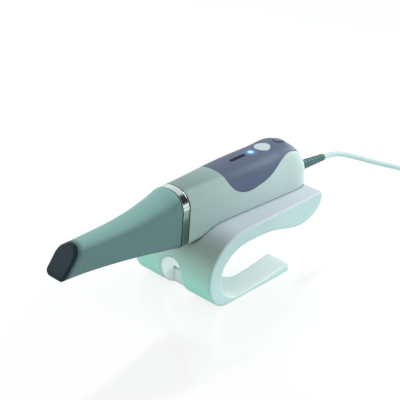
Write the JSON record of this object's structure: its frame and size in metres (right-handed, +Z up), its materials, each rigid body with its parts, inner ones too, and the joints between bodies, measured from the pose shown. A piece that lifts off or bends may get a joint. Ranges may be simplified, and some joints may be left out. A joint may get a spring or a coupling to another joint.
{
  "type": "intraoral scanner",
  "caption": "Handheld dental scanner with a pull-off mirror tip, slate top cover with buttons and a strain-relieved lead, lying in a C-shaped forked cradle.",
  "frame": {"origin": "middle of the base, on the surface that the cradle stands on, under the middle of the handpiece", "axes": "+X from the tip's nose to the rear end, +Y across, +Z up"},
  "size_m": [0.4954, 0.102, 0.0896],
  "materials": {
    "cradle_white": "satin, milky white with a faint mint tint",
    "tip_grey": "satin grey-teal",
    "tip_dark": "smooth dark slate",
    "mirror_silver": "front-silvered",
    "clear_glass": "polished and coated",
    "collar_chrome": "polished",
    "casing_white": "satin white",
    "cover_slate": "satin slate-lavender",
    "window_dark": "smoked, polished",
    "light_blue": "translucent, lit from below",
    "button_white": "smooth white",
    "button_slate": "smooth slate",
    "ring_dark": "smooth dark ring",
    "snout_dark": "matt dark, to stop stray light",
    "bench_metal": "machined",
    "barrel_black": "matt black",
    "screw_steel": "bright",
    "board_green": "solder mask",
    "chip_black": "moulded",
    "led_white": "clear cast",
    "gland_metal": "bright",
    "boot_dark": "matt, ribbed",
    "cord_grey": "smooth matt",
    "tie_dark": "matt band",
    "plug_dark": "satin"
  },
  "bodies": {
    "scanner": {"cradle": "cradle_white", "snout_glass": "clear_glass", "front_lens": "clear_glass", "rear_lens": "clear_glass", "beam_splitter": "clear_glass", "collar_ring": "collar_chrome", "body_shell": "casing_white", "top_cover": "cover_slate", "status_window": "window_dark", "status_light": "light_blue", "rear_button_bezel": "ring_dark", "snout": "snout_dark", "optical_bench": "bench_metal", "heat_sink": "bench_metal", "lens_barrel": "barrel_black", "bench_screws": "screw_steel", "main_board_screws": "screw_steel", "button_board_screws": "screw_steel", "plug_shell": "screw_steel", "sensor_board": "board_green", "projector_board": "board_green", "main_board": "board_green", "button_board": "board_green", "image_sensor": "chip_black", "main_processor": "chip_black", "cord_connector": "chip_black", "button_switches": "chip_black", "projector_led": "led_white", "status_led": "led_white", "cable_gland": "gland_metal", "strain_relief": "boot_dark", "cord": "cord_grey", "cord_coil": "cord_grey", "cord_end": "cord_grey", "cord_tail": "cord_grey", "cord_tie": "tie_dark", "plug_overmould": "plug_dark"},
    "tip": {"tip_sleeve": "tip_grey", "tip_end_cap": "tip_dark", "tip_mirror": "mirror_silver", "tip_window": "clear_glass"},
    "scan_button": {"scan_button": "button_white"},
    "rear_button": {"rear_button": "button_slate"}
  },
  "joints": [
    {"name": "tip_pull", "type": "slide", "parent": "scanner", "child": "tip", "axis": [-1, 0, 0], "range_m": [0, 0.04]},
    {"name": "scan_button_press", "type": "slide", "parent": "scanner", "child": "scan_button", "axis": [0, 0, -1], "range_m": [0, 0.001], "stiffness_N_per_m": 800},
    {"name": "rear_button_press", "type": "slide", "parent": "scanner", "child": "rear_button", "axis": [0, 0, -1], "range_m": [0, 0.001], "stiffness_N_per_m": 800}
  ]
}
